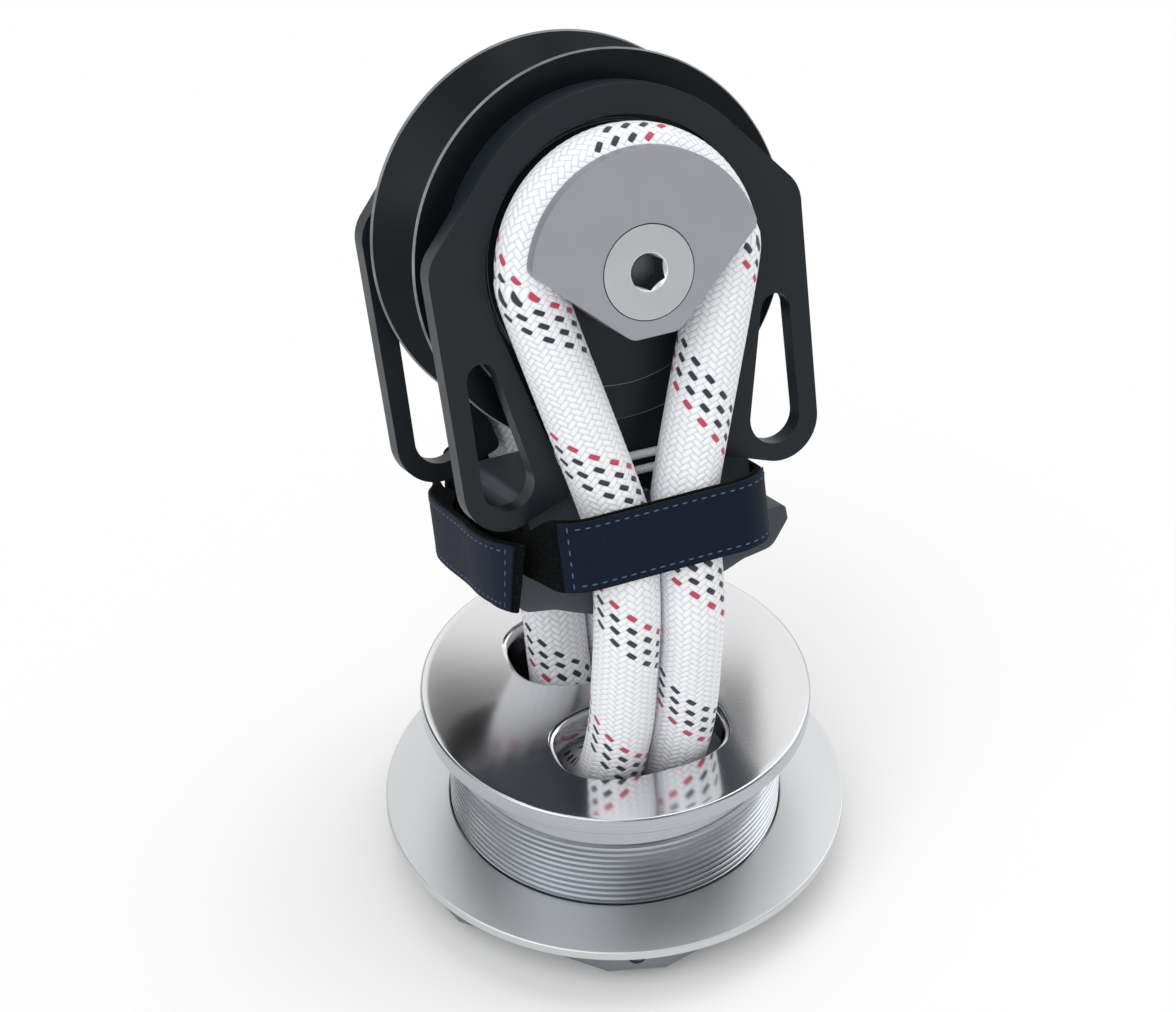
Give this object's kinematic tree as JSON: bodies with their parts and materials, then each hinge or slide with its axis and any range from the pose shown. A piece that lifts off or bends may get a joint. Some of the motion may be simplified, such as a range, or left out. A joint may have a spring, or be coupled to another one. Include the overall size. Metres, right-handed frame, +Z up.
{
  "type": "through-deck padeye with loop block",
  "caption": "Dished round padeye with two oval eyes and a threaded through-deck barrel, disc and nut; a rope loop ties a sheave block to its bridge bar.",
  "frame": {"origin": "centre of the flat bottom face of the barrel", "axes": "+Z up along the barrel's axis, out of the deck; +X along the bridge bar; the block leans towards +Y, so its front faces -Y"},
  "size_m": [0.124, 0.1474, 0.2277],
  "materials": {
    "polished_stainless": "mirror polished stainless steel",
    "turned_stainless": "turned stainless steel",
    "black_anodised": "black hard-anodised aluminium, satin",
    "grey_anodised": "grey bead-blasted aluminium",
    "dark_grey_anodised": "dark grey anodised aluminium",
    "screw_stainless": "blasted stainless steel",
    "bearing_polymer": "bearing polymer, moulded",
    "white_braid": "white polyester braid with dark and red fleck yarns",
    "navy_webbing": "navy hook-and-loop webbing, black lining"
  },
  "bodies": {
    "padeye": {"padeye_body": "polished_stainless"},
    "backing": {"backing_disc": "turned_stainless"},
    "nut": {"hex_nut": "turned_stainless", "nut_grub_screw": "screw_stainless"},
    "block": {"front_cheek": "black_anodised", "rear_cheek": "black_anodised", "front_side_plate": "black_anodised", "rear_side_plate": "black_anodised", "front_rope_post": "grey_anodised", "rear_rope_post": "grey_anodised", "front_cap": "grey_anodised", "rear_cap": "grey_anodised", "front_cap_screw": "screw_stainless", "rear_cap_screw": "screw_stainless", "inner_race": "screw_stainless", "front_thrust_washer": "bearing_polymer", "rear_thrust_washer": "bearing_polymer", "base_saddle": "dark_grey_anodised", "front_saddle_screw_1": "screw_stainless", "front_saddle_screw_2": "screw_stainless", "rear_saddle_screw_1": "screw_stainless", "rear_saddle_screw_2": "screw_stainless", "front_cheek_screw_1": "screw_stainless", "front_cheek_screw_2": "screw_stainless", "front_cheek_screw_3": "screw_stainless", "rear_cheek_screw_1": "screw_stainless", "rear_cheek_screw_2": "screw_stainless", "rear_cheek_screw_3": "screw_stainless", "rope_loop": "white_braid", "strap_band": "navy_webbing", "strap_tail": "navy_webbing", "tie_cord": "white_braid"},
    "sheave": {"sheave": "black_anodised"},
    "rollers": {"roller_cage": "bearing_polymer", "roller_01": "bearing_polymer", "roller_02": "bearing_polymer", "roller_03": "bearing_polymer", "roller_04": "bearing_polymer", "roller_05": "bearing_polymer", "roller_06": "bearing_polymer", "roller_07": "bearing_polymer", "roller_08": "bearing_polymer", "roller_09": "bearing_polymer", "roller_10": "bearing_polymer", "roller_11": "bearing_polymer", "roller_12": "bearing_polymer", "roller_13": "bearing_polymer", "roller_14": "bearing_polymer"}
  },
  "joints": [
    {"name": "block_lean", "type": "hinge", "parent": "padeye", "child": "block", "pos_m": [0, 0, 0.085], "axis": [1, 0, 0], "range_deg": [-39, 80], "deforming": ["rope_loop"]},
    {"name": "sheave_spin", "type": "hinge", "parent": "block", "child": "sheave", "pos_m": [0.00195, 0.03467, 0.1757], "axis": [0.0958, -0.9298, 0.3554], "continuous": true},
    {"name": "roller_spin", "type": "hinge", "parent": "block", "child": "rollers", "pos_m": [0.00195, 0.03467, 0.1757], "axis": [0.0958, -0.9298, 0.3554], "continuous": true},
    {"name": "nut_turn", "type": "hinge", "parent": "backing", "child": "nut", "pos_m": [0, 0, 0.0095], "axis": [0, 0, 1], "range_deg": [-720, 3960]},
    {"name": "disc_travel", "type": "slide", "parent": "padeye", "child": "backing", "axis": [0, 0, 1], "range_m": [-0.00401, 0.02201]}
  ],
  "couplings": [
    {"joint": "roller_spin", "follows": "sheave_spin", "ratio": 0.5597},
    {"joint": "disc_travel", "follows": "nut_turn", "m_per_rad": 0.00031831}
  ]
}
